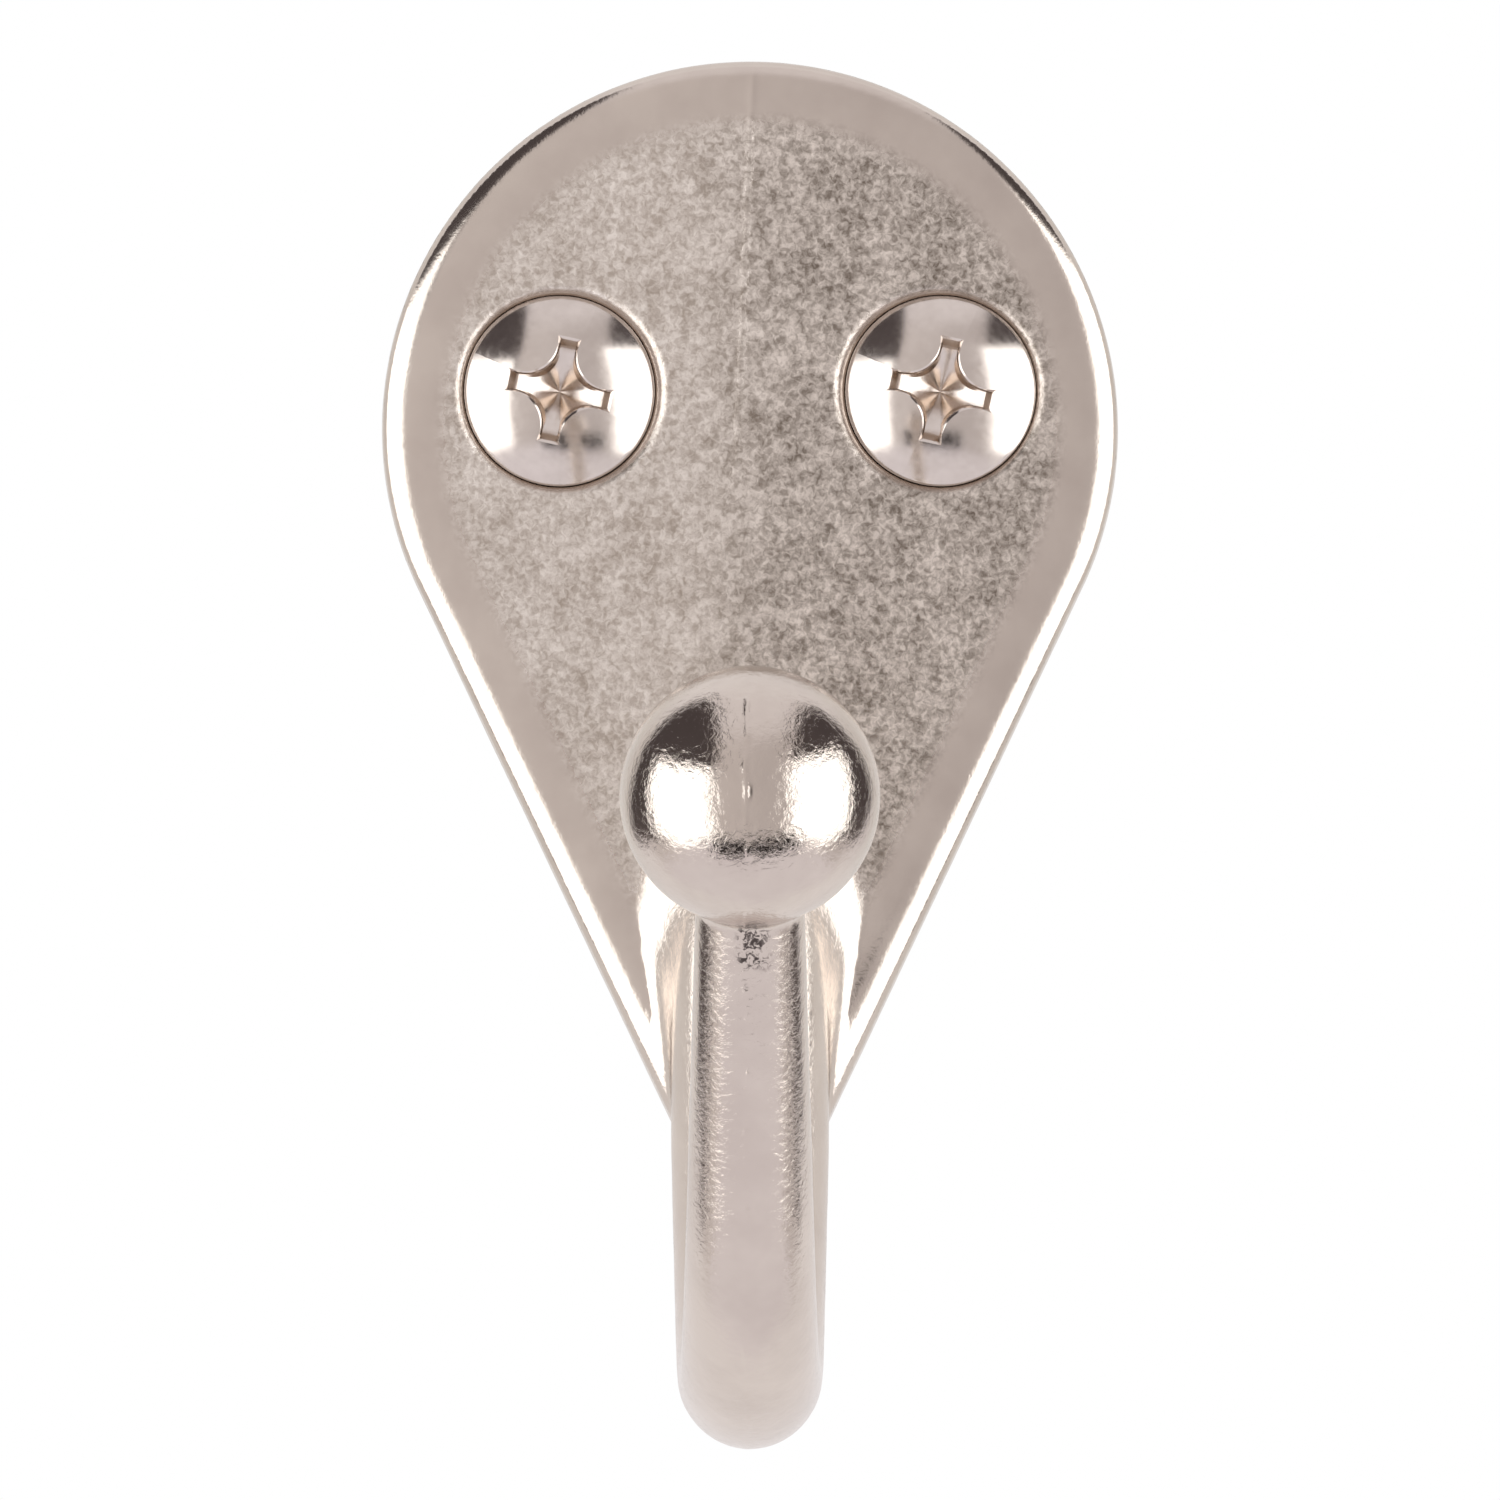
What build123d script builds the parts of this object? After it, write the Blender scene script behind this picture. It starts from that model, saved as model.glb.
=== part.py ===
from build123d import *
from math import asin, atan2, cos, pi, radians, sin, sqrt, tan
import os

os.makedirs("parts", exist_ok=True)

# Garment hook: a teardrop wall plate, a J-shaped prong and a ball tip cast in one piece,
# held by two raised countersunk wood screws. Sizes are in mm and angles in degrees.
# The back of the plate lies on Y = 0, the prong comes forward along -Y, and Z is up.
# The origin is on the back of the plate, midway between the two screws.

# Wall plate
plate_radius = 15.0
disc_drop = 1.5
taper_angle = 25.4
plate_thickness = 3.0
side_height = 1.75
side_draft = 4.0
rim_width = 2.75
rim_steps = 4
tail_margin = 0.4

# Prong, along the middle of its round section
root_curve_radius = 31.0
bend_start_drop = 30.6
bend_radius = 8.6
leg_curve_radius = 15.4
leg_lean = 29.0
root_radius = 3.18
bend_section_radius = 2.84
neck_radius = 1.9
wall_gap = 0.05
bend_stations = 5
leg_stations = 4

# Blend of the prong's root into the plate
root_blend = 2.4
root_stations = 10
blend_dip = 0.04
blend_base = 0.6
blend_tip = 0.08
least_turn = 4.0
side_span = 24.0
front_points = 6
rim_halvings = 30

# Ball tip
ball_radius = 4.8
ball_drop = 16.2
neck_blend = 0.4
neck_dip = 0.015

# Screws and the holes that take them
screw_spacing = 15.4
head_radius = 3.85
head_sink = 0.5
head_edge = 0.12
dome_height = 1.25
sink_angle = 82.0
seat_gap = 0.02
hole_radius = 2.4
hole_overrun = 1.0
screw_neck_radius = 1.8
thread_radius = 2.1
thread_start = 0.4
thread_lead = 0.15
screw_length = 19.0
point_length = 3.6

# Values worked out from those above
rim_rise = plate_thickness - side_height
side_inset = side_height * tan(radians(side_draft))
tail_radius = rim_width + side_inset + tail_margin
apex_drop = disc_drop + plate_radius / sin(radians(taper_angle))
tail_drop = apex_drop - tail_radius / sin(radians(taper_angle))
sink_slope = tan(radians(sink_angle / 2))
sink_radius = head_radius + seat_gap + head_sink * sink_slope
sink_floor = plate_thickness - (sink_radius - hole_radius) / sink_slope
screw_places = (-screw_spacing / 2, screw_spacing / 2)


# One closed level of the plate: the teardrop, drawn in from its full size by an inset.
def teardrop(forward, inset):
    side = radians(taper_angle)
    disc = plate_radius - inset
    tail = tail_radius - inset
    disc_end = (disc * cos(side), -disc_drop - disc * sin(side))
    tail_end = (tail * cos(side), -tail_drop - tail * sin(side))
    with BuildSketch(Plane(origin=(0, -forward, 0), x_dir=(1, 0, 0), z_dir=(0, -1, 0))) as level:
        with BuildLine():
            ThreePointArc((-disc_end[0], disc_end[1]), (0, disc - disc_drop), disc_end)
            Line(disc_end, tail_end)
            ThreePointArc(tail_end, (0, -tail_drop - tail), (-tail_end[0], tail_end[1]))
            Line((-tail_end[0], tail_end[1]), (-disc_end[0], disc_end[1]))
        make_face()
    return level.sketch


# Middle line of the prong, from the foot of the root round the bend and up to the ball.
bend_depth = root_radius + wall_gap
bottom_depth = bend_depth + bend_radius
leg_centre_drop = bend_start_drop + bend_radius - leg_curve_radius
leg_sweep = 90 - leg_lean
leg_end_depth = bottom_depth + leg_curve_radius * sin(radians(leg_sweep))
leg_end_drop = leg_centre_drop + leg_curve_radius * cos(radians(leg_sweep))
ball_depth = leg_end_depth + (leg_end_drop - ball_drop) * tan(radians(leg_lean))
with BuildLine(Plane.YZ) as centreline:
    bend_arc = CenterArc((-bottom_depth, -bend_start_drop), bend_radius, 0, -90)
    leg_arc = CenterArc((-bottom_depth, -leg_centre_drop), leg_curve_radius, -90, -leg_sweep)
    Line((-leg_end_depth, -leg_end_drop), (-ball_depth, -ball_drop))

prong_wire = centreline.wire()


# The section is widest at the root and thins to the bend, then to the neck under the ball.
def section_radius(reach):
    if reach < bend_arc.length:
        share = reach / bend_arc.length
        return root_radius + (bend_section_radius - root_radius) * share
    share = (reach - bend_arc.length) / (prong_wire.length - bend_arc.length)
    return bend_section_radius + (neck_radius - bend_section_radius) * share


# Neck of the ball, in the plane of the prong's axis: a hollow arc that rolls between the
# ball and the prong, and ends just under the prong's skin.
neck_skin = section_radius(prong_wire.length - ball_radius) - neck_dip
neck_turn = asin((neck_skin + neck_blend) / (ball_radius + neck_blend))
neck_reach = (ball_radius + neck_blend) * cos(neck_turn)
blend_top = (ball_radius * sin(neck_turn), ball_radius * cos(neck_turn))
half_way = (pi / 2 - neck_turn) / 2
blend_middle = (
    neck_skin + neck_blend - neck_blend * cos(half_way),
    neck_reach - neck_blend * sin(half_way),
)
blend_end = (neck_skin, neck_reach)

# The front of the root is an arc that leans back until it sinks into the plate's face.
front_curve = root_curve_radius + root_radius
front_offset = root_curve_radius - bend_depth
sink_depth = plate_thickness - blend_dip
root_height = sqrt(front_curve**2 - (front_offset + sink_depth) ** 2) - blend_tip


# Blend circle at one level: it rolls in the corner between the rib and the plate's front.
# It touches the flat face, or where the plate gets narrow, the curve of the rim. Returned
# are its middle and the way it leans out from there.
def rolling_circle(drop, rib_depth):
    side = radians(taper_angle)
    half_width = (apex_drop - drop) * tan(side)
    reach = root_radius + root_blend
    gap = root_blend - blend_dip
    on_face = sqrt(max(reach**2 - (plate_thickness + gap - rib_depth) ** 2, 0))
    if on_face < half_width - (side_inset + rim_width) / cos(side):
        return on_face, plate_thickness + gap, 0
    low, high = 0, pi / 2
    for halving in range(rim_halvings):
        turn = (low + high) / 2
        inward = side_inset + rim_width * (1 - cos(turn))
        lean = atan2(rim_rise * cos(turn), rim_width * sin(turn) / cos(side))
        aside = half_width - inward / cos(side) + gap * sin(lean)
        depth = side_height + rim_rise * sin(turn) + gap * cos(lean)
        if aside**2 + (depth - rib_depth) ** 2 > reach**2:
            low = turn
        else:
            high = turn
    return aside, depth, lean


# One level of the root, in four smooth edges: the round front of the rib, a hollow blend on
# each side, and a bow behind that stays inside the plate. Where the plate gets too narrow to
# carry a blend, the level is the full round of the prong.
def root_level(share):
    rise = root_height * (1 + cos(pi * share)) / 2
    drop = bend_start_drop - rise
    rib_depth = sqrt(front_curve**2 - rise**2) - front_offset - root_radius
    aside, depth, lean = rolling_circle(drop, rib_depth)
    turn = atan2(aside, depth - rib_depth)
    middle = (turn + lean) / 2
    hollow = (aside - root_blend * sin(middle), -depth + root_blend * cos(middle))
    foot = (aside - root_blend * sin(lean), -depth + root_blend * cos(lean))
    back = (0, -wall_gap - blend_base * (1 - share))
    if turn - lean < radians(least_turn):
        turn = pi / 2
        middle = turn + radians(side_span) / 2
        end = turn + radians(side_span)
        hollow = (root_radius * sin(middle), -rib_depth - root_radius * cos(middle))
        foot = (root_radius * sin(end), -rib_depth - root_radius * cos(end))
        back = (0, root_radius - rib_depth)
    front = []
    for step in range(-front_points, front_points + 1):
        angle = turn * step / front_points
        front.append((root_radius * sin(angle), -rib_depth - root_radius * cos(angle)))
    with BuildSketch(Plane(origin=(0, 0, -drop), x_dir=(1, 0, 0), z_dir=(0, 0, 1))) as level:
        with BuildLine():
            if share < 1:
                Spline(front)
            else:
                ThreePointArc(front[0], front[front_points], front[-1])
            ThreePointArc(front[-1], hollow, foot)
            ThreePointArc(foot, back, (-foot[0], foot[1]))
            ThreePointArc((-foot[0], foot[1]), (-hollow[0], hollow[1]), front[0])
        make_face()
    return level.sketch


# The casting: plate, prong and ball are one solid.
with BuildPart() as hook:
    # Side wall of the plate, drafted so that it leaves the mould.
    add(teardrop(0, 0))
    add(teardrop(side_height, side_inset))
    loft(ruled=True)

    # Wide soft rim: levels that follow a quarter of an ellipse from the side wall to the face.
    for step in range(rim_steps + 1):
        turn = radians(90 * step / rim_steps)
        add(teardrop(side_height + rim_rise * sin(turn), side_inset + rim_width * (1 - cos(turn))))
    loft()

    # Prong, with the seam of its round sections on the outer side of the J. The bend and the
    # curve of the leg are smooth lofts, and the straight end of the leg is a plain cone.
    leg_start = bend_arc.length / prong_wire.length
    straight_start = (bend_arc.length + leg_arc.length) / prong_wire.length
    for run, stations in (
        ((0, leg_start), bend_stations),
        ((leg_start, straight_start), leg_stations),
        ((straight_start, 1), 1),
    ):
        for step in range(stations + 1):
            share = run[0] + (run[1] - run[0]) * step / stations
            heading = prong_wire % share
            across = Vector(1, 0, 0).cross(heading)
            with BuildSketch(Plane(origin=prong_wire @ share, x_dir=across, z_dir=heading)):
                Circle(section_radius(share * prong_wire.length))
        loft(ruled=stations == 1)

    # Root of the prong, from the tip of its arch on the face down to the start of the bend.
    for step in range(root_stations + 1):
        add(root_level(step / root_stations))
    loft()

    # Ball tip with its blend into the neck, turned about the straight end of the prong.
    ball_middle = (0, -ball_depth, -ball_drop)
    leg_axis = (0, sin(radians(leg_lean)), -cos(radians(leg_lean)))
    leg_normal = (0, cos(radians(leg_lean)), sin(radians(leg_lean)))
    with BuildSketch(Plane(origin=ball_middle, x_dir=(1, 0, 0), z_dir=leg_normal)):
        with BuildLine():
            Line((0, neck_reach), (0, -ball_radius))
            ThreePointArc((0, -ball_radius), (ball_radius, 0), blend_top)
            ThreePointArc(blend_top, blend_middle, blend_end)
            Line(blend_end, (0, neck_reach))
        make_face()
    revolve(axis=Axis(ball_middle, leg_axis))

    # Two countersunk screw holes, each turned away in one cut from front to back.
    for place in screw_places:
        with BuildSketch(Plane(origin=(place, 0, 0), x_dir=(1, 0, 0), z_dir=(0, 0, 1))):
            with BuildLine():
                Polyline(
                    (0, hole_overrun),
                    (hole_radius, hole_overrun),
                    (hole_radius, -sink_floor),
                    (sink_radius, -plate_thickness),
                    (sink_radius + hole_overrun * sink_slope, -plate_thickness - hole_overrun),
                    (0, -plate_thickness - hole_overrun),
                    close=True,
                )
            make_face()
        revolve(axis=Axis((place, 0, 0), (0, 1, 0)), mode=Mode.SUBTRACT)

hook.part.label = "hook"
export_step(hook.part, "parts/hook.step")

# Two alike screws: a domed head in the countersink, a short neck, and the thread in its full size.
rim_depth = plate_thickness - head_sink
cone_depth = (head_radius - screw_neck_radius) / sink_slope
neck_depth = rim_depth - cone_depth
tip_depth = rim_depth + head_edge - screw_length
with BuildPart() as mounting_screws:
    for place in screw_places:
        with BuildSketch(Plane(origin=(place, 0, 0), x_dir=(1, 0, 0), z_dir=(0, 0, 1))):
            with BuildLine():
                top = (0, -rim_depth - head_edge - dome_height)
                edge = (head_radius, -rim_depth - head_edge)
                dome_radius = (head_radius**2 + dome_height**2) / (2 * dome_height)
                dome_centre = dome_radius - dome_height - rim_depth - head_edge
                half_turn = asin(head_radius / dome_radius) / 2
                ThreePointArc(
                    top,
                    (dome_radius * sin(half_turn), dome_centre - dome_radius * cos(half_turn)),
                    edge,
                )
                Polyline(
                    edge,
                    (head_radius, -rim_depth),
                    (screw_neck_radius, -neck_depth),
                    (screw_neck_radius, thread_start - thread_lead),
                    (thread_radius, thread_start),
                    (thread_radius, -tip_depth - point_length),
                    (0, -tip_depth),
                    top,
                )
            make_face()
        revolve(axis=Axis((place, 0, 0), (0, 1, 0)))

mounting_screws.part.label = "mounting_screws"
export_step(mounting_screws.part, "parts/mounting_screws.step")
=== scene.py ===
# %% [markdown]
# # A nickel-plated garment hook
# This lesson builds the looks of a small wall hook: a teardrop plate, a J-shaped prong with a
# ball tip, cast together in zinc and plated with nickel, and two polished wood screws.
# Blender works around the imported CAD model, which gives every size and place. All objects are
# in metres. The back of the plate lies on Y = 0, the hook comes forward along -Y, and Z is up.

# %% Load the frame
from math import atan2, cos, pi, radians, sin, sqrt, tan

import bmesh
import bpy
import numpy as np
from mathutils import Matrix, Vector, noise


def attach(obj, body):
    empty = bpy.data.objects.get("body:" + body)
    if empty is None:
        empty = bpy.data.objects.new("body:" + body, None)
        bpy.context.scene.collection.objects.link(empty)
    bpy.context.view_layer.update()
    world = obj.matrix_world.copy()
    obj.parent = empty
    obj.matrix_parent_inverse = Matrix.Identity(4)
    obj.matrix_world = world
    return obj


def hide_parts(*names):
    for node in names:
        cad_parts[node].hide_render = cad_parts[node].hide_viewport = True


MM = 0.001

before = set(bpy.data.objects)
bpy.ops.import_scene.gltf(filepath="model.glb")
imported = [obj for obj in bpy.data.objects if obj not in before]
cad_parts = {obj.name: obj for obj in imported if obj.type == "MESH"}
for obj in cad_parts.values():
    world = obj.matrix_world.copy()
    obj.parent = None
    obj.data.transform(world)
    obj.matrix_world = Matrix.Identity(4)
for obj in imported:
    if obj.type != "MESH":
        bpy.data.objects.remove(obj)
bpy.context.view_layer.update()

# %% [markdown]
# ## Camera
# The hook was photographed square on, from about the distance of an outstretched arm, so the
# camera is level and looks along +Y. A long lens frames 61 mm at the wall. The ball stands
# 34 mm in front of the wall and looks a tenth larger than it would from far away, which is why
# the distance matters and an orthographic camera would be wrong.

# %% Camera
camera_distance = 350 * MM
frame_width = 61.05 * MM
frame_middle_height = -14.5 * MM

camera_data = bpy.data.cameras.new("front_camera")
camera_data.sensor_width = 36
camera_data.lens = camera_data.sensor_width * camera_distance / frame_width
camera_data.clip_start = 0.01
camera = bpy.data.objects.new("front_camera", camera_data)
camera.location = (0, -camera_distance, frame_middle_height)
camera.rotation_euler = (pi / 2, 0, 0)
bpy.context.scene.collection.objects.link(camera)
bpy.context.scene.camera = camera
bpy.context.scene.view_settings.view_transform = "Standard"
print("lens:", round(camera_data.lens, 1), "mm")

# %% [markdown]
# ## The studio
# A shiny metal shows little of its own colour: it shows the room. So the room is the first
# thing to get right, and the ball of the hook is a mirror in which it can be read. There are
# two soft boxes, one at each side, a pale table below, a warm room behind the camera, and dark
# gaps between the boxes and the white card behind the hook. The gaps draw the black edges that
# make metal look like metal.
#
# What is far away goes into the world, whose colour depends only on the direction in which a
# ray leaves. What is near must be a real object: the card, and a dark strip below the lens. The
# ball is 34 mm in front of the card and sees dark beyond its edges, but the plate lies against
# it and sees none. No world colour could give both.

# %% Helpers for node trees
def new_node(tree, kind, **settings):
    node = tree.nodes.new(kind)
    for name, value in settings.items():
        setattr(node, name, value)
    return node


def math_node(tree, operation, first, second=None, third=None):
    node = new_node(tree, "ShaderNodeMath", operation=operation)
    for socket, value in zip(node.inputs, (first, second, third)):
        if isinstance(value, bpy.types.NodeSocket):
            tree.links.new(value, socket)
        elif value is not None:
            socket.default_value = value
    return node.outputs[0]


def times(tree, first, second):
    return math_node(tree, "MULTIPLY", first, second)


def times_add(tree, value, factor, addend):
    return math_node(tree, "MULTIPLY_ADD", value, factor, addend)


def step_up(tree, value, edge, softness):
    node = new_node(tree, "ShaderNodeMapRange", interpolation_type="SMOOTHSTEP")
    tree.links.new(value, node.inputs["Value"])
    node.inputs["From Min"].default_value = edge - softness / 2
    node.inputs["From Max"].default_value = edge + softness / 2
    return node.outputs["Result"]


def band(tree, value, low, high, softness):
    rise = step_up(tree, value, low, softness)
    fall = step_up(tree, value, high, softness)
    return math_node(tree, "SUBTRACT", rise, fall)


def mix_colour(tree, share, below, above, blend="MIX"):
    node = new_node(tree, "ShaderNodeMix", data_type="RGBA", blend_type=blend)
    sockets = (node.inputs[0], node.inputs[6], node.inputs[7])
    for socket, value in zip(sockets, (share, below, above)):
        if isinstance(value, bpy.types.NodeSocket):
            tree.links.new(value, socket)
        elif isinstance(value, (int, float)):
            socket.default_value = value
        else:
            socket.default_value = (*value, 1)
    return node.outputs[2]


# %% Directions in the room
world = bpy.data.worlds.new("studio")
bpy.context.scene.world = world
world.use_nodes = True
room = world.node_tree
room.nodes.clear()
direction = new_node(room, "ShaderNodeTexCoord").outputs["Generated"]
axes = new_node(room, "ShaderNodeSeparateXYZ")
room.links.new(direction, axes.inputs[0])
aside, up = axes.outputs["X"], axes.outputs["Z"]
toward_camera = times(room, axes.outputs["Y"], -1.0)
turn = times(room, math_node(room, "ARCTAN2", aside, toward_camera), 180 / pi)
height = times(room, math_node(room, "ARCSINE", up), 180 / pi)
print("turn and height are degrees, the other directions run from -1 to 1")

# %% Dark gaps beside and above the soft boxes
left_gap = times_add(room, up, 0.25, times(room, aside, -1.0))
left_gap = step_up(room, left_gap, edge=0.59, softness=0.05)
right_gap = times_add(room, up, 0.22, aside)
right_gap = step_up(room, right_gap, edge=0.70, softness=0.06)
behind = math_node(room, "MINIMUM", toward_camera, 0.0)
above_table = step_up(room, times_add(room, behind, 0.27, up), edge=-0.475, softness=0.05)
dark_share = times(room, math_node(room, "ADD", left_gap, right_gap), above_table)

# %% Soft boxes
left_box_turns, left_box_heights = (-97, -36), (-37, 22)
right_box_turns, right_box_heights = (38, 97), (-34, 28)


def soft_box_share(turns, heights):
    width = band(room, turn, *turns, softness=4)
    return times(room, width, band(room, height, *heights, softness=5))


left_box = soft_box_share(left_box_turns, left_box_heights)
right_box = soft_box_share(right_box_turns, right_box_heights)
far_corner = math_node(room, "SUBTRACT", toward_camera, 0.25)
far_corner = math_node(room, "MINIMUM", far_corner, 0.0)
box_foot = step_up(room, times_add(room, far_corner, 0.75, up), edge=-0.60, softness=0.07)
box_share = times(room, math_node(room, "ADD", left_box, right_box), box_foot)
print("left box:", left_box_turns, left_box_heights)
print("right box:", right_box_turns, right_box_heights)

# %% Colours of the room
room_left = (0.73, 0.675, 0.655)
room_right = (0.62, 0.57, 0.555)
room_high = (0.84, 0.79, 0.79)
room_table = (0.86, 0.81, 0.83)
room_gap = (0.085, 0.07, 0.07)
room_low_gap = (0.12, 0.10, 0.098)
soft_box = (2.3, 2.25, 2.2)
seen_white = (1.0, 1.0, 1.0)

colour = mix_colour(room, step_up(room, aside, edge=0.0, softness=0.9), room_left, room_right)
in_front = step_up(room, toward_camera, edge=-0.3, softness=0.5)
colour = mix_colour(room, in_front, room_high, colour)
colour = mix_colour(room, step_up(room, up, edge=0.80, softness=0.30), colour, room_high)
colour = mix_colour(room, step_up(room, up, edge=-0.61, softness=0.06), room_table, colour)
gap = mix_colour(room, step_up(room, up, edge=-0.15, softness=0.3), room_low_gap, room_gap)
colour = mix_colour(room, dark_share, colour, gap)
colour = mix_colour(room, box_share, colour, soft_box)
seen_by_camera = new_node(room, "ShaderNodeLightPath").outputs["Is Camera Ray"]
colour = mix_colour(room, seen_by_camera, colour, seen_white)
background = new_node(room, "ShaderNodeBackground")
room.links.new(colour, background.inputs["Color"])
world_output = new_node(room, "ShaderNodeOutputWorld")
room.links.new(background.outputs[0], world_output.inputs["Surface"])
print("room nodes:", len(room.nodes))

# %% [markdown]
# ## Card, strip and floor
# The white card is a tall sheet just behind the wall face, a little wider than the hook and
# brighter towards its ends. The strip is the dark bar that crosses the lower half of the ball.
# Both are there for reflections only, so the camera doesn't see them: the photograph shows
# nothing but white around the hook. The pale floor lies well below, out of the front view, so
# that other views have ground under them.

# %% A glowing sheet
glow_middle_height = -8
glow_reach = 24


def staged_sheet(name, outline, forward, middle_glow, end_glow):
    mesh = bpy.data.meshes.new(name)
    corners = [(x * MM, -forward * MM, z * MM) for x, z in outline]
    mesh.from_pydata(corners, [], [range(len(corners))])
    paint = bpy.data.materials.new(name)
    paint.use_nodes = True
    tree = paint.node_tree
    tree.nodes.clear()
    place = new_node(tree, "ShaderNodeSeparateXYZ")
    tree.links.new(new_node(tree, "ShaderNodeTexCoord").outputs["Object"], place.inputs[0])
    from_middle = math_node(tree, "ADD", place.outputs["Z"], -glow_middle_height * MM)
    from_middle = math_node(tree, "ABSOLUTE", from_middle)
    share = step_up(tree, from_middle, edge=glow_reach * MM, softness=glow_reach * MM)
    lamp = new_node(tree, "ShaderNodeEmission")
    tree.links.new(mix_colour(tree, share, middle_glow, end_glow), lamp.inputs["Color"])
    output = new_node(tree, "ShaderNodeOutputMaterial")
    tree.links.new(lamp.outputs[0], output.inputs["Surface"])
    mesh.materials.append(paint)
    sheet = bpy.data.objects.new(name, mesh)
    bpy.context.scene.collection.objects.link(sheet)
    sheet.visible_camera = False
    sheet.visible_shadow = False
    print(name, "depth in front of the wall:", forward, "mm")


# %% Card and strip
card_outline = (
    (-50, 260), (-50, 0), (-46, -14), (-36, -24), (-34, -36), (-58, -48), (-62, -140),
    (62, -140), (58, -48), (36, -38), (33, -28), (39, -12), (55, 15), (58, 260),
)
card_behind = 0.6
card_middle = (0.79, 0.75, 0.72)
card_ends = (0.90, 0.86, 0.86)
strip_forward = 60
strip_corners = ((-20, -37), (29, -35), (29, -48), (-20, -50))
strip_dark = (0.03, 0.025, 0.025)

staged_sheet("white_card", card_outline, -card_behind, card_middle, card_ends)
staged_sheet("dark_strip", strip_corners, strip_forward, strip_dark, strip_dark)

# %% Floor
floor_radius = 1.0
floor_height = -0.16
bpy.ops.mesh.primitive_circle_add(
    vertices=128, radius=floor_radius, fill_type="NGON", location=(0, 0, floor_height)
)
floor = bpy.context.object
floor.name = "floor"
floor_paint = bpy.data.materials.new("pale_floor")
floor_paint.use_nodes = True
floor_shader = floor_paint.node_tree.nodes["Principled BSDF"]
floor_colour = (0.95, 0.94, 0.93, 1)
floor_shader.inputs["Base Color"].default_value = floor_colour
floor_shader.inputs["Roughness"].default_value = 0.9
floor.data.materials.append(floor_paint)
floor.visible_glossy = False
print("floor:", floor_radius, "m in radius, at", floor_height, "m")

# %% [markdown]
# ## The casting as a distance field
# Plate, prong and ball run into each other without a single sharp line. Modelling that with
# loops of faces means fighting for good topology at each joint. A distance field is simpler:
# each form is a small formula that says how far a point is from its skin, two forms are
# welded by a rounded minimum, and holes are cut by a rounded maximum. All lengths in these
# formulas are millimetres, and depth counts forward from the wall.

# %% Sizes of the plate
plate_radius = 15.0
disc_drop = 1.5
taper_angle = radians(25.4)
plate_thickness = 3.0
side_height = 1.75
side_slope = tan(radians(4.0))
rim_width = 2.75
rim_narrowing = 0.35
rim_power = 2.5
rim_fuller = 0.5
tail_margin = 0.4
side_inset = side_height * side_slope
tail_radius = rim_width + side_inset + tail_margin
apex_drop = disc_drop + plate_radius / sin(taper_angle)
tail_drop = apex_drop - tail_radius / sin(taper_angle)
print("tail of the teardrop:", round(tail_radius, 2), "mm round,", round(tail_drop, 1), "mm down")


# %% Rounded joins of two forms
def soft(value, low, high):
    share = np.clip((value - low) / (high - low), 0, 1)
    return share * share * (3 - 2 * share)


def weld(first, second, radius):
    hollow = np.hypot(np.maximum(radius - first, 0), np.maximum(radius - second, 0))
    return np.maximum(radius, np.minimum(first, second)) - hollow


def trim(first, second, radius):
    crown = np.hypot(np.maximum(radius + first, 0), np.maximum(radius + second, 0))
    return np.minimum(-radius, np.maximum(first, second)) + crown


# %% [markdown]
# The teardrop is a large disc and a small one with straight sides between them. The face of
# the plate isn't quite flat: each half falls away by about a degree from a faint crest down the
# middle, as the two halves of the mould left it. The rim rolls over in a quarter of an ellipse
# with a slightly fuller shoulder, which keeps the reflected dark gap thin and crisp, and the side
# wall leans in by 4 degrees so that the casting leaves its mould.

# %% Plate
crest_fall = tan(radians(0.9))
crest_softness = 0.5
crest_top = 0.0
crest_lean = 0.04
crest_rise = 0.03
crest_width = 0.15
crest_foot = -5.5
crest_whole = -1.0
rim_change_low = 1.0
rim_change_high = 9.0
back_edge_radius = 0.22


def teardrop_distance(x, z):
    across = np.abs(x)
    along = -disc_drop - z
    length = tail_drop - disc_drop
    lean = (plate_radius - tail_radius) / length
    flank = sqrt(1 - lean * lean)
    turn = -lean * across + flank * along
    on_disc = np.hypot(across, along) - plate_radius
    on_tail = np.hypot(across, along - length) - tail_radius
    on_side = flank * across + lean * along - plate_radius
    return np.where(turn < 0, on_disc, np.where(turn > flank * length, on_tail, on_side))


def crest_place(z):
    return crest_top + crest_lean * np.clip(z - 10, -30, 5)


def face_depth(x, z):
    crest = crest_place(z)
    aside = np.sqrt((x - crest) ** 2 + crest_softness**2) - crest_softness
    line = np.exp(-(((x - crest) / crest_width) ** 2)) * soft(z, crest_foot, crest_whole)
    return plate_thickness - crest_fall * aside + (line - 1) * crest_rise


def plate_distance(x, depth, z):
    outline = teardrop_distance(x, z)
    rim_rise = face_depth(x, z) - side_height
    near_top = soft(z, rim_change_low, rim_change_high)
    width = rim_width - rim_narrowing * near_top
    power = rim_power + rim_fuller * near_top
    along_rim = np.maximum((width + side_inset + outline) / width, 0)
    up_rim = np.maximum((depth - side_height) / rim_rise, 0)
    turn = np.maximum((along_rim**power + up_rim**power) ** (1 / power), 1e-6)
    bent = power - 1
    steep = np.maximum(np.hypot(along_rim**bent / width, up_rim**bent / rim_rise), 1e-6)
    rim = (turn - 1) * turn**bent / steep
    side = (outline + depth * side_slope) / sqrt(1 + side_slope**2)
    front = np.where(depth > side_height, rim, side)
    return trim(front, -depth, back_edge_radius)


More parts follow.
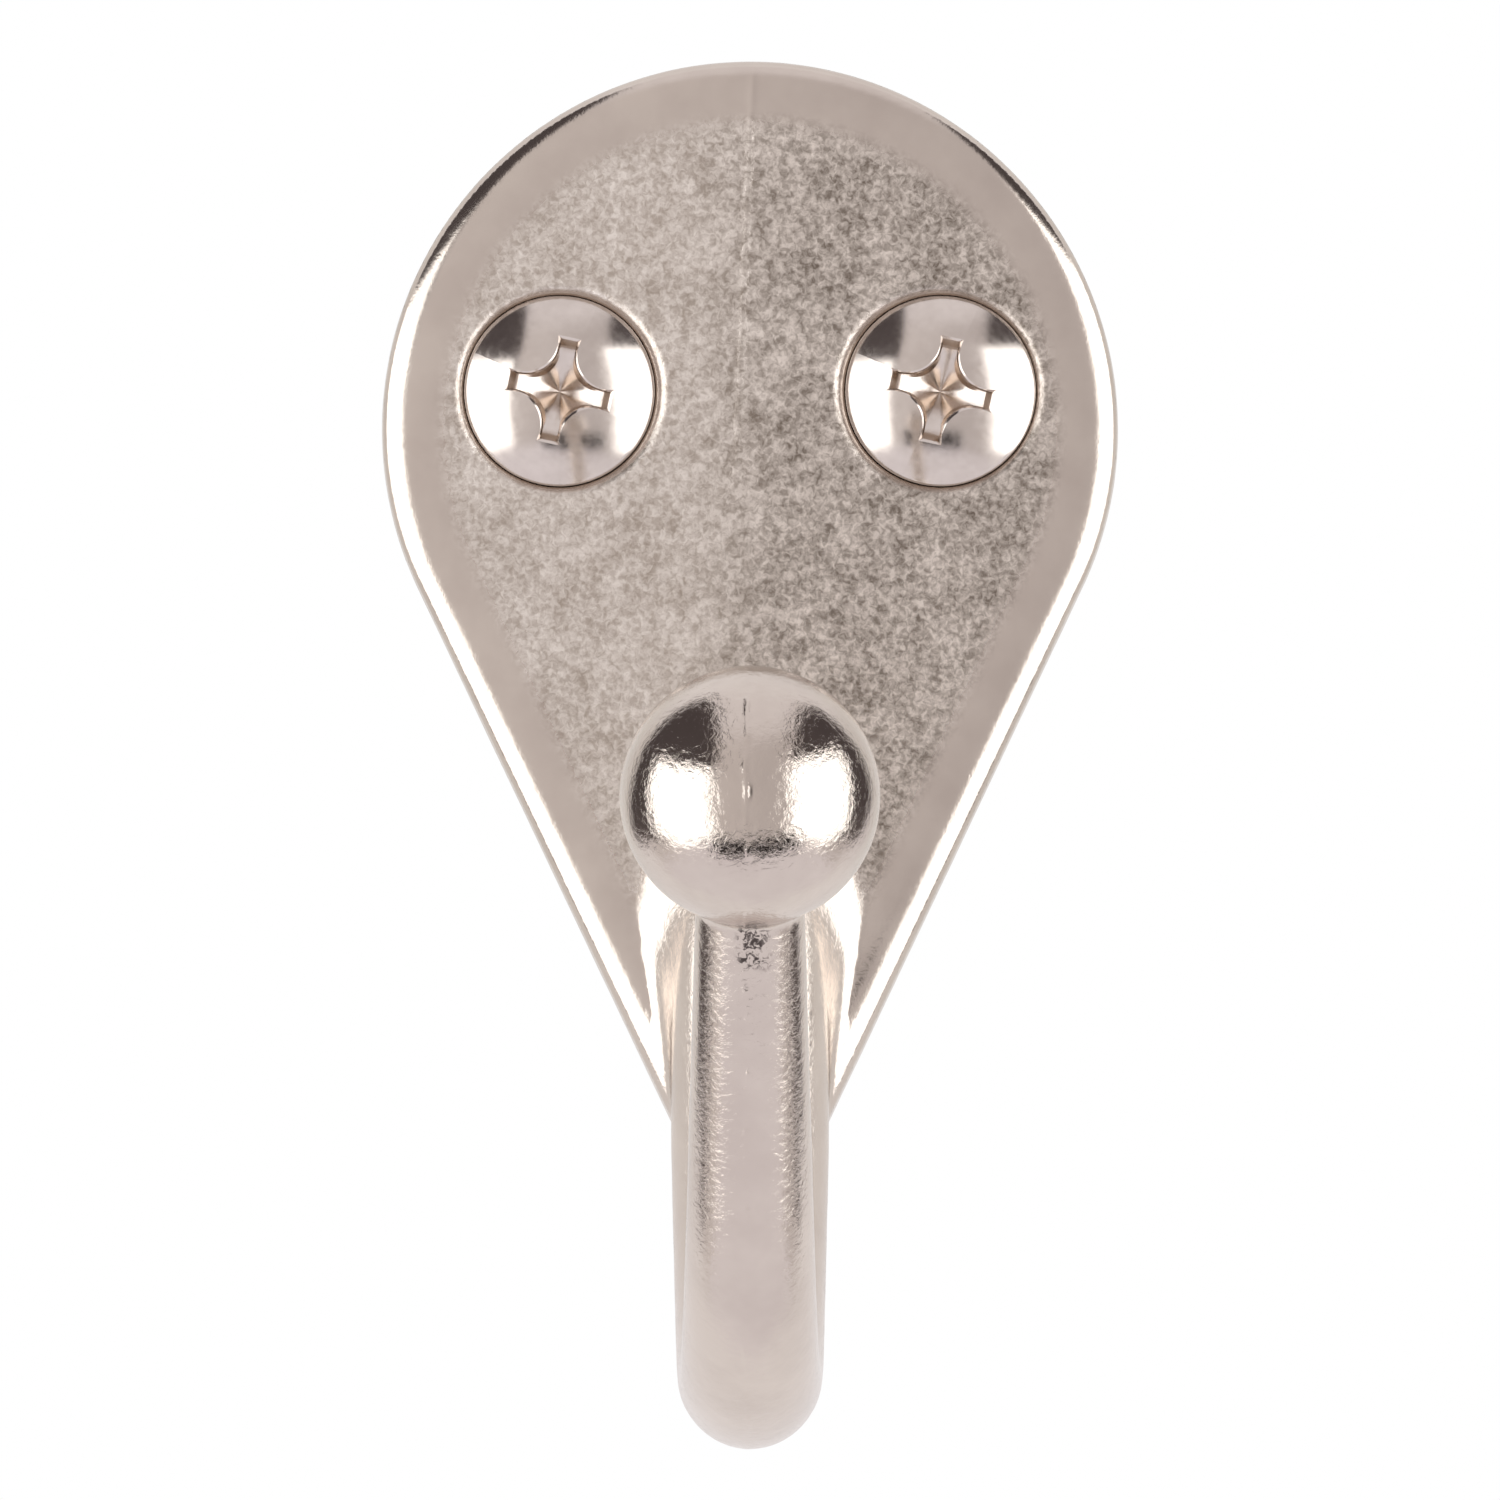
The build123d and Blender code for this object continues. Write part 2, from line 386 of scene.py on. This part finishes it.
# %% [markdown]
# The prong is a round bar along three arcs and a short straight: down out of the plate, round
# the bend, up the leg, and on to the ball. It is thickest at the root and thins to the neck.
# Where it leaves the face it is a little taller than round, so that its flanks stand steep and
# the white arcs beside it stay narrow.

# %% Prong and ball
root_curve_radius = 31.0
bend_start_drop = 30.6
bend_radius = 8.6
leg_curve_radius = 15.4
leg_lean = radians(29.0)
root_radius = 3.18
bend_section_radius = 2.84
neck_radius = 1.9
wall_gap = 0.05
root_blend = 1.8
side_blend = 0.3
blend_grows = (0.2, 3.0)
root_fullness = 1.0
fullness_grows = (16.5, 22.5)
fullness_ends = (23.5, 30.6)
ball_radius = 4.8
ball_drop = 16.2
neck_blend = 0.35

bend_depth = root_radius + wall_gap
bottom_depth = bend_depth + bend_radius
leg_centre_drop = bend_start_drop + bend_radius - leg_curve_radius
leg_sweep = pi / 2 - leg_lean
leg_end_depth = bottom_depth + leg_curve_radius * sin(leg_sweep)
leg_end_drop = leg_centre_drop + leg_curve_radius * cos(leg_sweep)
ball_depth = leg_end_depth + (leg_end_drop - ball_drop) * tan(leg_lean)
straight_length = (leg_end_drop - ball_drop) / cos(leg_lean)
leg_length = leg_curve_radius * leg_sweep + straight_length
print("middle of the ball:", round(ball_depth, 2), "mm in front of the wall")


# %% Distance to the prong and to the ball
def bar_distance(x, off_line, radius):
    return np.hypot(x, off_line) - radius


def prong_distance(x, depth, z):
    root_centre = bend_depth - root_curve_radius
    off_root = np.hypot(depth - root_centre, z + bend_start_drop) - root_curve_radius
    fullness = root_fullness * soft(-z, *fullness_grows) * (1 - soft(-z, *fullness_ends))
    root = bar_distance(x, off_root - np.clip(off_root, 0, fullness), root_radius)

    off_bend = np.hypot(depth - bottom_depth, z + bend_start_drop) - bend_radius
    share = np.arctan2(-z - bend_start_drop, bottom_depth - depth) / (pi / 2)
    bend = bar_distance(x, off_bend, root_radius + (bend_section_radius - root_radius) * share)

    off_leg = np.hypot(depth - bottom_depth, z + leg_centre_drop) - leg_curve_radius
    swept = np.arctan2(depth - bottom_depth, -z - leg_centre_drop)
    thinning = (neck_radius - bend_section_radius) / leg_length
    leg = bar_distance(x, off_leg, bend_section_radius + thinning * leg_curve_radius * swept)

    forward = depth - leg_end_depth
    upward = z + leg_end_drop
    along = forward * sin(leg_lean) + upward * cos(leg_lean)
    beside = forward * cos(leg_lean) - upward * sin(leg_lean)
    reach = np.minimum(leg_curve_radius * leg_sweep + along, leg_length)
    neck = bar_distance(x, beside, bend_section_radius + thinning * reach)
    neck = np.maximum(neck, along - straight_length)

    behind = np.where(z > -bend_start_drop, root, bend)
    before = np.where(along > 0, neck, leg)
    return np.where(depth < bottom_depth, behind, before)


def ball_distance(x, depth, z):
    return np.sqrt(x**2 + (depth - ball_depth) ** 2 + (z + ball_drop) ** 2) - ball_radius


# %% [markdown]
# The countersinks are cones with a soft lip, because plating builds up on edges. A thin raised
# line, broken here and there, runs down the middle of the prong and the ball: there the two
# halves of the mould met. The ball has a small nick in front. Nothing cast is perfectly even
# either, so the skin of the bar swells and sinks by a few hundredths of a millimetre, and the
# rim by half as much.

# %% Sizes of holes, parting line and cast skin
screw_spacing = 15.4
head_radius = 3.85
head_sink = 0.5
seat_gap = 0.02
sink_slope = tan(radians(41.0))
sink_radius = head_radius + seat_gap + head_sink * sink_slope
hole_radius = 2.4
sink_reach = 0.6
sink_lip = 0.16
hole_lip = 0.12

parting_height = 0.045
parting_width = 0.11
parting_place = -0.12
nick_height = -16.0
nick_place = 0.03
nick_depth = 0.03
nick_width = 0.055
nick_length = 0.2
skin_swell = 0.012
tip_relief = 0.08
bottom_tip = (39.0, 41.5)
front_tip = (36.0, 38.2)
rim_swell = 0.5
plate_reach = 2.0
back_edge = 0.05
print("countersinks:", round(sink_radius, 2), "mm in radius at the face")


# %% Holes, uneven skin and parting line
def hole_distance(x, depth, z):
    from_axis = np.hypot(np.abs(x) - screw_spacing / 2, z)
    above_face = np.minimum(depth - plate_thickness, sink_reach)
    slant = (from_axis - sink_radius - above_face * sink_slope) / sqrt(1 + sink_slope**2)
    bore = from_axis - hole_radius
    return weld(slant, bore, hole_lip)


def wander(points, scale, seed):
    shift = Vector((seed, -seed, 2 * seed))
    return np.array([noise.noise(Vector(p) * scale + shift) for p in points])


def nick_share(x, z):
    across = (x - nick_place) / nick_width
    along = (z - nick_height) / nick_length
    return np.exp(-(across**2) - along**2)


def parting_ridge(x, z):
    line = parting_place + 0.05 * np.sin(0.9 * z) + 0.03 * np.sin(3.1 * z + 1.0)
    broken = 0.5 + 0.3 * np.sin(2.3 * z) + 0.2 * np.sin(5.9 * z + 2.0)
    ridge = parting_height * broken * np.exp(-(((x - line) / parting_width) ** 2))
    return ridge - nick_depth * nick_share(x, z)


# %% The whole casting as one formula
def casting_distance(points, swell):
    x, depth, z = points[:, 0], -points[:, 1], points[:, 2]
    prong = prong_distance(x, depth, z)
    ball = ball_distance(x, depth, z)
    bar = weld(prong, ball, neck_blend)
    plate = plate_distance(x, depth, z)
    away = np.clip((bar - plate + plate_reach) / plate_reach, 0, 1)
    tips = soft(-z, *bottom_tip) + soft(depth, *front_tip)
    bar = bar - (parting_ridge(x, z) + swell) * (1 - away) + tip_relief * tips
    inward = soft(-teardrop_distance(x, z), *blend_grows)
    blend = side_blend + (root_blend - side_blend) * inward
    body = weld(bar, plate + rim_swell * (swell + 2 * skin_swell), blend)
    body = trim(body, -depth, back_edge)
    return trim(body, -hole_distance(x, depth, z), sink_lip)


# %% [markdown]
# ## From field to mesh
# A copy of the CAD casting gives the first skin. Voxel remesh turns it into even small faces,
# and a few Newton steps then slide every vertex along the field's gradient until it lies on
# the formula's skin. The gradient also gives each vertex its exact normal, so highlights stay
# clean on a mesh of modest size. Places with fine detail, the lips of the countersinks, the
# parting line and the crest of the face, get smaller faces first.

# %% Slide points on to the skin
slope_step = 0.004
least_slope = 0.05
longest_move = 0.15


def gradient(points, swell):
    slopes = []
    for axis in range(3):
        shift = np.zeros(3)
        shift[axis] = slope_step
        ahead = casting_distance(points + shift, swell)
        behind = casting_distance(points - shift, swell)
        slopes.append((ahead - behind) / (2 * slope_step))
    return np.stack(slopes, axis=1)


def project(points, swell, rounds):
    for _ in range(rounds):
        slope = gradient(points, swell)
        size = np.maximum((slope**2).sum(1), least_slope)
        move = slope * (casting_distance(points, swell) / size)[:, None]
        reach = np.maximum(np.linalg.norm(move, axis=1) / longest_move, 1)
        points = points - move / reach[:, None]
    return points


def corners_of(mesh):
    places = np.zeros(len(mesh.vertices) * 3)
    mesh.vertices.foreach_get("co", places)
    return places.reshape(-1, 3) / MM


def put_corners(mesh, points):
    mesh.vertices.foreach_set("co", (points * MM).ravel())
    mesh.update()


# %% Smaller faces where the detail is fine
def refine(mesh, wanted):
    points = corners_of(mesh)
    near = wanted(points)
    work = bmesh.new()
    work.from_mesh(mesh)
    work.faces.ensure_lookup_table()
    edges = {e for f in work.faces if any(near[v.index] for v in f.verts) for e in f.edges}
    bmesh.ops.subdivide_edges(work, edges=list(edges), cuts=1, use_grid_fill=True)
    work.to_mesh(mesh)
    work.free()
    print("faces after refining:", len(mesh.polygons))


def near_lips(points):
    x, z = np.abs(points[:, 0]) - screw_spacing / 2, points[:, 2]
    from_axis = np.hypot(x, z)
    depth = -points[:, 1]
    at_face = (np.abs(from_axis - sink_radius) < 0.5) & (depth > plate_thickness - 0.8)
    at_bore = (np.abs(from_axis - hole_radius) < 0.35) & (depth < 1.3)
    return at_face | at_bore


def near_parting(points, reach):
    x, depth, z = points[:, 0], -points[:, 1], points[:, 2]
    on_bar = (depth > plate_thickness + 0.3) | (z < -bend_start_drop - 0.4)
    on_crest = (np.abs(depth - plate_thickness) < 0.3) & (z > crest_foot - 0.5)
    place = np.where(on_crest, crest_place(z), parting_place)
    return (on_bar | on_crest) & (np.abs(x - place) < reach)


# %% Remesh the casting
voxel = 0.26

casting = bpy.data.objects.new("hook_casting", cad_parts["hook"].data.copy())
bpy.context.scene.collection.objects.link(casting)
casting.data.materials.clear()
remesh = casting.modifiers.new("even_faces", "REMESH")
remesh.mode = "VOXEL"
remesh.voxel_size = voxel * MM
bpy.context.view_layer.update()
skin = bpy.data.meshes.new_from_object(
    casting.evaluated_get(bpy.context.evaluated_depsgraph_get())
)
casting.modifiers.clear()
casting.data = skin
skin.name = "hook_casting"
print("faces after the remesh:", len(skin.polygons))

# %% Refine and project
put_corners(skin, project(corners_of(skin), 0.0, 3))
refine(skin, near_lips)
refine(skin, lambda points: near_parting(points, 0.36))
put_corners(skin, project(corners_of(skin), 0.0, 2))
refine(skin, lambda points: near_parting(points, 0.2))
points = project(corners_of(skin), 0.0, 3)
broad = wander(points, scale=0.55, seed=3.0)
fine = wander(points, scale=1.7, seed=8.0)
swell = skin_swell * (broad + 0.5 * fine)
points = project(points, swell, 3)
put_corners(skin, points)
slope = gradient(points, swell)
normals = slope / np.linalg.norm(slope, axis=1)[:, None]
skin.shade_smooth()
skin.normals_split_custom_set_from_vertices(normals)
triangles = sum(len(f.vertices) - 2 for f in skin.polygons)
print("faces of the casting:", len(skin.polygons), "triangles:", triangles)
off_skin = np.abs(casting_distance(points, swell)).max()
print("furthest from the field:", float(off_skin), "mm")

# %% [markdown]
# ## Where the finish changes
# Three finishes share one plating. The flat face is matt and grainy, because it was blasted.
# The rim round it was tumbled smooth. The bar and the ball are glossy but finely cast. Each
# vertex carries a number for how much of the matt face and how much of the bar it belongs to,
# and the material reads these numbers. Two more mark a nick in the front of the ball and a few
# pits in the leg just under it, both from the mould; the material darkens them as painted shade.

# %% Paint the zones on the mesh
def give_number(mesh, name, values):
    layer = mesh.attributes.new(name, "FLOAT", "POINT")
    layer.data.foreach_set("value", values.astype(np.float32))


pit_place, pit_height, pit_reach = 0.1, -21.8, (0.7, 0.9)
on_leg, on_ball_front = 25, 30

x, depth, z = points[:, 0], -points[:, 1], points[:, 2]
from_face = np.abs(face_depth(x, z) - depth)
inside = -teardrop_distance(x, z)
to_prong = prong_distance(x, depth, z)
matt_face = soft(inside, 2.1, 3.1) * (1 - soft(from_face, 0.02, 0.3)) * soft(to_prong, 0.6, 2.0)
bar_share = 1 - soft(to_prong, 0.1, 1.2)
bar_share = np.maximum(bar_share, 1 - soft(ball_distance(x, depth, z), 0.1, 0.5))
# Masks of the pits and the nick, which the material darkens: painted shade of these hollows.
pits = soft(pit_reach[0] - np.abs(x - pit_place), 0.0, 0.3)
pits = pits * soft(pit_reach[1] - np.abs(z - pit_height), 0.0, 0.3) * (depth > on_leg)
nick = nick_share(x, z) * (depth > on_ball_front)
for name, values in (("matt_face", matt_face), ("bar", bar_share), ("pits", pits), ("nick", nick)):
    give_number(skin, name, values)
    print(name, "covers", round(float(values.mean()) * 100, 2), "percent of the corners")

# %% [markdown]
# ## Cast nickel
# Nickel is a warm, slightly brown metal. The Principled shader with Metallic at 1 takes its
# tint from Base Color. Four sizes of noise do the rest: clouds a few millimetres wide where the
# plating is thicker or thinner, patches and grain on the matt face, and sand finer than both.
# The right half of the face is painted darker than the left: painted shade for the light falling
# differently on the two halves. Roughness follows the zones, and a bump turns the noise into
# relief: much on the matt face, short hammered marks on the glossy bar, and next to none on the
# rim.

# %% Helpers for materials
def noise_texture(tree, vector, scale, detail, roughness=0.5, distortion=0.0):
    node = new_node(tree, "ShaderNodeTexNoise")
    tree.links.new(vector, node.inputs["Vector"])
    node.inputs["Scale"].default_value = scale
    node.inputs["Detail"].default_value = detail
    node.inputs["Roughness"].default_value = roughness
    node.inputs["Distortion"].default_value = distortion
    return node.outputs["Fac"]


def spread(tree, value, low, high, to_low=0.0, to_high=1.0):
    node = new_node(tree, "ShaderNodeMapRange", clamp=True)
    tree.links.new(value, node.inputs["Value"])
    names = ("From Min", "From Max", "To Min", "To Max")
    for name, number in zip(names, (low, high, to_low, to_high)):
        node.inputs[name].default_value = number
    return node.outputs["Result"]


def number_of(tree, name):
    return new_node(tree, "ShaderNodeAttribute", attribute_name=name).outputs["Fac"]


# %% Noise of the casting
cast_nickel = bpy.data.materials.new("cast_nickel_plating")
cast_nickel.use_nodes = True
tree = cast_nickel.node_tree
shader = tree.nodes["Principled BSDF"]
shader.inputs["Metallic"].default_value = 1.0
place = new_node(tree, "ShaderNodeTexCoord").outputs["Object"]
matt = number_of(tree, "matt_face")
bar = number_of(tree, "bar")

clouds = noise_texture(tree, place, scale=330, detail=3, roughness=0.6)
patches = noise_texture(tree, place, scale=1400, detail=4, roughness=0.65, distortion=0.4)
grain = noise_texture(tree, place, scale=3900, detail=4, roughness=0.62, distortion=0.7)
sand = noise_texture(tree, place, scale=11000, detail=2, roughness=0.5)

# %% Colour of the casting
# The right pair of grain colours is darker than the left pair: painted shade for the right half of
# the face.
left_dark, shaded_right_dark = (0.49, 0.425, 0.37), (0.21, 0.175, 0.145)
left_light, shaded_right_light = (1.0, 0.95, 0.90), (0.96, 0.89, 0.83)
thin_plating, thick_plating = (0.66, 0.595, 0.545), (0.72, 0.655, 0.60)
# Dark colour for the pits and the nick: painted shade of these hollows.
hollow_shade_colour = (0.09, 0.075, 0.07)
patch_weight, grain_weight, cloud_weight = 0.30, 0.54, 0.18

tone = times(tree, spread(tree, patches, 0.40, 0.60), patch_weight)
tone = times_add(tree, spread(tree, grain, 0.38, 0.62), grain_weight, tone)
tone = times_add(tree, spread(tree, clouds, 0.40, 0.60), cloud_weight, tone)
across = new_node(tree, "ShaderNodeSeparateXYZ")
tree.links.new(place, across.inputs[0])
# Mask of the right half of the face, which gets the darker grain colours: painted shade.
shaded_right_half = step_up(tree, across.outputs["X"], edge=-0.5 * MM, softness=6.0 * MM)
dark_grain = mix_colour(tree, shaded_right_half, left_dark, shaded_right_dark)
light_grain = mix_colour(tree, shaded_right_half, left_light, shaded_right_light)
matt_colour = mix_colour(tree, tone, dark_grain, light_grain)
plain_colour = mix_colour(tree, spread(tree, clouds, 0.35, 0.65), thin_plating, thick_plating)
# The pits and the nick are darkened in colour: painted shade of these hollows.
pit_shade_share = times(tree, number_of(tree, "pits"), spread(tree, grain, 0.49, 0.56))
hollow_shade_share = math_node(tree, "MAXIMUM", pit_shade_share, times(tree, number_of(tree, "nick"), 1.3))
hollow_shade_share = math_node(tree, "MINIMUM", hollow_shade_share, 1.0)
with_hollow_shade = mix_colour(tree, hollow_shade_share, plain_colour, hollow_shade_colour)
tree.links.new(mix_colour(tree, matt, with_hollow_shade, matt_colour), shader.inputs["Base Color"])
print("weights of patches, grain and clouds:", patch_weight, grain_weight, cloud_weight)

# %% Roughness of the casting
rim_roughness = 0.11
matt_rougher = 0.24
bar_smoother = 0.03
grain_rougher = 0.05

rough = times_add(tree, matt, matt_rougher, rim_roughness)
rough = times_add(tree, bar, -bar_smoother, rough)
rough = times_add(tree, spread(tree, grain, 0.3, 0.7), grain_rougher, rough)
tree.links.new(rough, shader.inputs["Roughness"])
print("roughness of the rim:", rim_roughness, "the matt face:", rim_roughness + matt_rougher)

# %% Relief of the casting
relief_depth = 0.02

relief = times_add(tree, bar, 0.75, times_add(tree, matt, 1.0, 0.2))
relief = times(tree, grain, relief)
relief = times_add(tree, sand, times_add(tree, matt, 0.4, 0.1), relief)
relief = times_add(tree, patches, times_add(tree, bar, 0.6, 0.3), relief)
bump = new_node(tree, "ShaderNodeBump")
bump.inputs["Strength"].default_value = 1.0
bump.inputs["Distance"].default_value = relief_depth * MM
tree.links.new(relief, bump.inputs["Height"])
tree.links.new(bump.outputs["Normal"], shader.inputs["Normal"])
skin.materials.append(cast_nickel)
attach(casting, "root")
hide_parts("hook")
print("material nodes of the casting:", len(tree.nodes))

# %% [markdown]
# ## The screws
# Each screw has a low domed head with a cross recess, a countersunk underside, a short neck,
# and a coarse wood thread with a sharp point. One grid of rings makes the whole screw: rings
# that change from a circle into the outline of the cross, then go down its walls, and on the
# other side rings that follow the thread. The rows of the thread climb as they go round, so
# that crest and root are real edge loops and stay crisp.

# %% Sizes of a screw
head_edge = 0.12
dome_height = 1.25
screw_neck_radius = 1.8
thread_radius = 2.1
thread_root = 1.4
thread_pitch = 1.75
screw_length = 19.0
point_length = 4.6

recess_turn = radians(-12)
recess_tip = 2.175
recess_half = 0.48
recess_waist = 1.15
floor_tip = 1.80
floor_half = 0.37
floor_waist = 0.88
floor_slope = tan(radians(33))
recess_depth = 2.0
lip_width = 0.12

rim_depth = plate_thickness - head_sink
edge_depth = rim_depth + head_edge
dome_radius = (head_radius**2 + dome_height**2) / (2 * dome_height)
neck_depth = rim_depth - (head_radius - screw_neck_radius) / sink_slope
tip_depth = edge_depth - screw_length
print("point of the screw:", round(-tip_depth, 2), "mm behind the wall face")


# %% Outline of the cross recess
def cross_outline(tip, half, waist):
    low = waist / sqrt(2)
    centre = (tip**2 + half**2 - 2 * low**2) / (2 * (tip + half - 2 * low))
    radius = sqrt(2) * abs(centre - low)
    corner = atan2(half - centre, tip - centre)
    middle = -3 * pi / 4
    sweep = (corner - middle + pi) % (2 * pi) - pi
    eighth = [(tip, half * k / 3) for k in range(3)]
    for k in range(11):
        angle = corner - sweep * k / 10
        eighth.append((centre + radius * cos(angle), centre + radius * sin(angle)))
    mirrored = [(b, a) for a, b in reversed(eighth[:-1])]
    quarter = eighth + mirrored[:-1]
    outline = []
    for turn in range(4):
        for a, b in quarter:
            for _ in range(turn):
                a, b = -b, a
            outline.append((a, b))
    return np.array(outline)


ring_size = len(cross_outline(recess_tip, recess_half, recess_waist))
print("corners round a screw:", ring_size)


# %% Rings of the head
floor_shares = (0.02, 0.3, 0.6, 0.85, 1.0)
wall_shares = (0.06, 0.3, 0.6, 0.9, 1.0)
dome_shares = (0.0, 0.03, 0.12, 0.3, 0.5, 0.7, 0.85, 0.94, 0.99)
sink_shares = (0.3, 0.6, 0.9, 1.0)
edge_round = 0.03


def dome_depth(ring):
    from_axis = np.hypot(ring[:, 0], ring[:, 1])
    rise = np.sqrt(np.maximum(dome_radius**2 - from_axis**2, 0)) - (dome_radius - dome_height)
    tilt = 1 - (from_axis / head_radius) ** 2
    return edge_depth + rise + tilt * (-0.06 * ring[:, 0] + 0.05 * ring[:, 1])


def with_depth(ring, depth):
    return np.column_stack([ring, np.broadcast_to(depth, len(ring))])


def head_rings():
    mouth = cross_outline(recess_tip, recess_half, recess_waist)
    lip = cross_outline(recess_tip - lip_width, recess_half - lip_width, recess_waist - lip_width)
    low = cross_outline(floor_tip, floor_half, floor_waist)
    angles = np.arctan2(mouth[:, 1], mouth[:, 0])
    circle = np.column_stack([np.cos(angles), np.sin(angles)])
    rings = []
    floor_middle = edge_depth + dome_height - recess_depth
    for share in floor_shares:
        ring = low * share
        rings.append(with_depth(ring, floor_middle + np.hypot(*ring.T) * floor_slope))
    foot = rings[-1][:, 2]
    top = dome_depth(lip) - lip_width
    for share in wall_shares:
        ring = low + (lip - low) * share
        rings.append(with_depth(ring, foot + (top - foot) * share))
    rings.append(with_depth((lip + mouth) / 2, dome_depth(mouth) - 0.3 * lip_width))
    for share in dome_shares:
        ring = mouth + (circle * (head_radius - edge_round) - mouth) * share
        rings.append(with_depth(ring, dome_depth(ring)))
    for radius, depth in (
        (head_radius - 0.008, edge_depth - 0.015),
        (head_radius, edge_depth - 0.05),
        (head_radius, rim_depth + 0.03),
        (head_radius - 0.02, rim_depth - 0.01),
    ):
        rings.append(with_depth(circle * radius, depth))
    for share in sink_shares:
        radius = head_radius + (screw_neck_radius - head_radius) * share
        rings.append(with_depth(circle * radius, rim_depth + (neck_depth - rim_depth) * share))
    return rings, angles


# %% Rows of the thread
crest_width_share = 0.45
steps_a_turn = 14
core_starts = (-0.1, 0.9)
crest_starts = (0.0, 1.6)
point_taper = 0.8
point_crest = 0.35


def thread_profile(share):
    rise = 1 - abs(share - 0.5) * 2
    return max(0.0, (rise - 1 + crest_width_share) / crest_width_share) ** 0.8


def shank_radius(depth, share):
    behind = -depth
    core = screw_neck_radius + (thread_root - screw_neck_radius) * soft(behind, *core_starts)
    crest = thread_profile(share) * (thread_radius - thread_root) * soft(behind, *crest_starts)
    left = (depth - tip_depth) / point_length
    taper = min(1.0, max(left, 0.0)) ** point_taper
    edge = min(1.0, max(left, 0.0) * 3.0)
    return core * taper + crest * edge * (point_crest + (1 - point_crest) * taper)


def thread_rings(angles):
    rows = []
    steps = steps_a_turn
    turns = int((neck_depth - tip_depth) / thread_pitch) + 2
    climb = np.unwrap(angles) / (2 * pi)
    climb = climb - climb[0]
    for row in range(-steps, turns * steps):
        share = (row % steps) / steps
        depth = neck_depth - thread_pitch * (row / steps + climb)
        depth = np.clip(depth, tip_depth, neck_depth)
        radius = np.array([shank_radius(d, share) for d in depth])
        rows.append(np.column_stack([np.cos(angles) * radius, np.sin(angles) * radius, depth]))
    return rows


# %% [markdown]
# The rings become one grid of faces. Each vertex of the recess also gets a number for how much
# painted shade darkens it. At the seam the last column of the thread meets the first
# column one turn further down, because the rows climb.

# %% One screw as one grid
merge_distance = 0.0002 * MM
# Shares of painted shade on the walls of the recess, ring by ring.
recess_shade = {4: 0.35, 5: 0.7, 6: 1.0, 7: 0.9, 8: 0.6, 9: 0.3}


def screw_mesh(name):
    rings, angles = head_rings()
    rows = thread_rings(angles)
    steps = steps_a_turn
    work = bmesh.new()
    recess_shade_layer = work.verts.layers.float.new("recess")
    turned = (cos(recess_turn), sin(recess_turn))
    grid = []
    for number, ring in enumerate(rings + rows):
        line = []
        for a, b, depth in ring:
            across = a * turned[0] - b * turned[1]
            up = a * turned[1] + b * turned[0]
            line.append(work.verts.new((across * MM, -depth * MM, up * MM)))
            line[-1][recess_shade_layer] = recess_shade.get(number, 0.0)
        grid.append(line)
    centre = work.verts.new((0, -(edge_depth + dome_height - recess_depth) * MM, 0))
    for k in range(ring_size):
        work.faces.new((centre, grid[0][k], grid[0][(k + 1) % ring_size]))
    first = len(rings)
    for j in range(len(grid) - 1):
        for k in range(ring_size):
            after = k + 1
            if after < ring_size:
                corners = (grid[j][k], grid[j][after], grid[j + 1][after], grid[j + 1][k])
            elif j < first - 1:
                corners = (grid[j][k], grid[j][0], grid[j + 1][0], grid[j + 1][k])
            elif j == first - 1 or j + 1 + steps >= len(grid):
                continue
            else:
                corners = (grid[j][k], grid[j + steps][0], grid[j + 1 + steps][0], grid[j + 1][k])
            work.faces.new(corners)
    bmesh.ops.remove_doubles(work, verts=work.verts, dist=merge_distance)
    bmesh.ops.dissolve_degenerate(work, edges=work.edges, dist=merge_distance / 2)
    bmesh.ops.recalc_face_normals(work, faces=work.faces)
    mesh = bpy.data.meshes.new(name)
    work.to_mesh(mesh)
    open_edges = sum(1 for e in work.edges if len(e.link_faces) != 2)
    print(name, "faces:", len(work.faces), "open edges:", open_edges)
    work.free()
    mesh.shade_smooth()
    mesh.set_sharp_from_angle(angle=radians(38))
    return mesh


# %% [markdown]
# ## Polished nickel
# The screw heads were barrel polished, so their plating is much smoother than the casting's:
# low roughness and hardly any relief. The walls of the recess are painted brown and darker:
# painted shade for the dark reflections deep in the recess.

# %% Material of the screws
screw_nickel = bpy.data.materials.new("polished_nickel_plating")
screw_nickel.use_nodes = True
tree = screw_nickel.node_tree
shader = tree.nodes["Principled BSDF"]
shader.inputs["Metallic"].default_value = 1.0
place = new_node(tree, "ShaderNodeTexCoord").outputs["Object"]
clouds = noise_texture(tree, place, scale=900, detail=3, roughness=0.6)
scuffs = noise_texture(tree, place, scale=3800, detail=3, roughness=0.6)
dull_polish, bright_polish = (0.70, 0.64, 0.60), (0.76, 0.70, 0.66)
# Brown for the walls of the recess: painted shade for the dark reflections deep in it.
recess_shade_brown = (0.52, 0.42, 0.34)
scuff_depth = 0.002
polished = mix_colour(tree, spread(tree, clouds, 0.35, 0.65), dull_polish, bright_polish)
# The recess walls are mixed towards brown: painted shade.
recess_shaded = mix_colour(tree, number_of(tree, "recess"), polished, recess_shade_brown)
tree.links.new(recess_shaded, shader.inputs["Base Color"])
tree.links.new(spread(tree, scuffs, 0.35, 0.7, 0.14, 0.21), shader.inputs["Roughness"])
bump = new_node(tree, "ShaderNodeBump")
bump.inputs["Strength"].default_value = 0.5
bump.inputs["Distance"].default_value = scuff_depth * MM
tree.links.new(scuffs, bump.inputs["Height"])
tree.links.new(bump.outputs["Normal"], shader.inputs["Normal"])

# %% Two screws in their places
for name, side in (("screw_left", -1), ("screw_right", 1)):
    mesh = screw_mesh(name)
    for corner in mesh.vertices:
        corner.co.x += side * screw_spacing / 2 * MM
    mesh.materials.append(screw_nickel)
    screw = bpy.data.objects.new(name, mesh)
    bpy.context.scene.collection.objects.link(screw)
    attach(screw, "root")
    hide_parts("mounting_screws")
